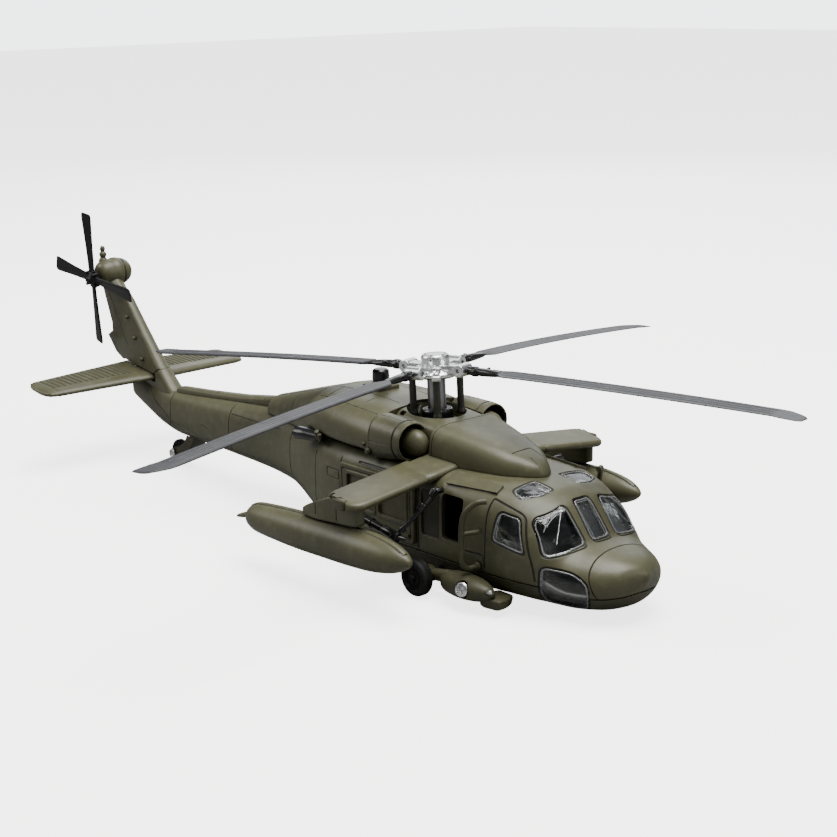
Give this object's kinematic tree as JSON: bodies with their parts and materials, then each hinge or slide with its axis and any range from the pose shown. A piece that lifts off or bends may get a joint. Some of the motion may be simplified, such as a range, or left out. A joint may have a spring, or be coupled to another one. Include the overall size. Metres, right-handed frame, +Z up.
{
  "type": "toy helicopter",
  "caption": "Small die-cast toy utility helicopter with a spinning main rotor and tail rotor, rolling wheels, sliding cabin doors, stub wings with tanks, and clear cockpit panes.",
  "frame": {"origin": "on the flat belly face, on the centre plane, under the foot of the main rotor mast; the ground under the three wheels is 1.9 mm below it", "axes": "+X towards the nose, +Y towards the port side, +Z up"},
  "size_m": [0.2477, 0.1796, 0.0683],
  "materials": {
    "olive_paint": "satin olive drab enamel over a die-cast body",
    "olive_plastic": "moulded olive plastic, slightly duller than the painted covers",
    "black_plastic": "black moulded plastic, semi-gloss",
    "grey_plastic": "dark grey rotor blade plastic, fine length-wise ribs",
    "silver_metal": "bright plated metal",
    "clear_plastic": "clear moulded window plastic",
    "black_rubber": "soft black wheel rubber"
  },
  "bodies": {
    "airframe": {"upper_body_shell": "olive_paint", "nose_cap": "olive_paint", "boom_front_section": "olive_paint", "tail_boom": "olive_paint", "tail_fin": "olive_paint", "tail_gearbox": "olive_paint", "stabilator": "olive_paint", "front_fairing": "olive_paint", "mast_deck": "olive_paint", "engine_bay_cover": "olive_paint", "spine_fairing": "olive_paint", "boom_top_cover": "olive_paint", "engine_nacelle_left": "olive_paint", "engine_nacelle_right": "olive_paint", "inlet_plug_left": "olive_paint", "inlet_plug_right": "olive_paint", "wing_left": "olive_paint", "wing_right": "olive_paint", "wing_pylon_left": "olive_paint", "wing_pylon_right": "olive_paint", "fuel_tank_left": "olive_paint", "fuel_tank_right": "olive_paint", "belly_shell": "olive_plastic", "gear_pod_left": "olive_plastic", "gear_pod_right": "olive_plastic", "tail_wheel_fork": "olive_plastic", "grab_rail_left": "olive_plastic", "grab_rail_right": "olive_plastic", "exhaust_pipe_left": "black_plastic", "exhaust_pipe_right": "black_plastic", "interior_tub": "black_plastic", "pod_screw_left": "silver_metal", "pod_screw_right": "silver_metal", "main_axle": "silver_metal", "tail_wheel_pin": "silver_metal", "mast_collar": "silver_metal", "door_window_left": "clear_plastic", "door_window_right": "clear_plastic", "chin_window_left": "clear_plastic", "chin_window_right": "clear_plastic", "windshield_left": "clear_plastic", "windshield_right": "clear_plastic", "roof_window_left": "clear_plastic", "roof_window_right": "clear_plastic", "windshield_center": "clear_plastic"},
    "main_rotor": {"rotor_hub": "silver_metal", "rotor_mast": "silver_metal", "rotor_blade_front": "grey_plastic", "rotor_blade_left": "grey_plastic", "rotor_blade_rear": "grey_plastic", "rotor_blade_right": "grey_plastic"},
    "tail_rotor_unit": {"tail_rotor": "black_plastic"},
    "wheel_left": {"main_wheel_left": "black_rubber"},
    "wheel_right": {"main_wheel_right": "black_rubber"},
    "tail_wheel_unit": {"tail_wheel": "black_rubber"},
    "door_left": {"cabin_door_left": "olive_paint"},
    "door_right": {"cabin_door_right": "olive_paint"},
    "gun_left": {"door_gun_left": "black_plastic"},
    "gun_right": {"door_gun_right": "black_plastic"},
    "cap_button": {"top_cap": "black_plastic"}
  },
  "joints": [
    {"name": "main_rotor_spin", "type": "hinge", "parent": "airframe", "child": "main_rotor", "pos_m": [0.00015, 0, 0.0321], "axis": [-0.0419, 0, 0.9991], "continuous": true},
    {"name": "tail_rotor_spin", "type": "hinge", "parent": "airframe", "child": "tail_rotor_unit", "pos_m": [-0.1388, -0.0061, 0.0472], "axis": [0, -0.9914, -0.1305], "continuous": true},
    {"name": "wheel_left_spin", "type": "hinge", "parent": "airframe", "child": "wheel_left", "pos_m": [0.018, 0.0226, 0.0023], "axis": [0, 1, 0], "continuous": true},
    {"name": "wheel_right_spin", "type": "hinge", "parent": "airframe", "child": "wheel_right", "pos_m": [0.018, -0.0226, 0.0023], "axis": [0, 1, 0], "continuous": true},
    {"name": "tail_wheel_spin", "type": "hinge", "parent": "airframe", "child": "tail_wheel_unit", "pos_m": [-0.1074, 0, 0.0016], "axis": [0, 1, 0], "continuous": true},
    {"name": "door_left_slide", "type": "slide", "parent": "airframe", "child": "door_left", "axis": [-1, 0, 0], "range_m": [0, 0.02]},
    {"name": "door_right_slide", "type": "slide", "parent": "airframe", "child": "door_right", "axis": [-1, 0, 0], "range_m": [0, 0.02]},
    {"name": "gun_left_swivel", "type": "hinge", "parent": "airframe", "child": "gun_left", "pos_m": [0.0203, 0.017, 0.0213], "axis": [0, 0, 1], "range_deg": [-10, 10]},
    {"name": "gun_right_swivel", "type": "hinge", "parent": "airframe", "child": "gun_right", "pos_m": [0.0203, -0.017, 0.0213], "axis": [0, 0, 1], "range_deg": [-10, 10]},
    {"name": "cap_press", "type": "slide", "parent": "airframe", "child": "cap_button", "axis": [0, 0, -1], "range_m": [0, 0.001]}
  ]
}
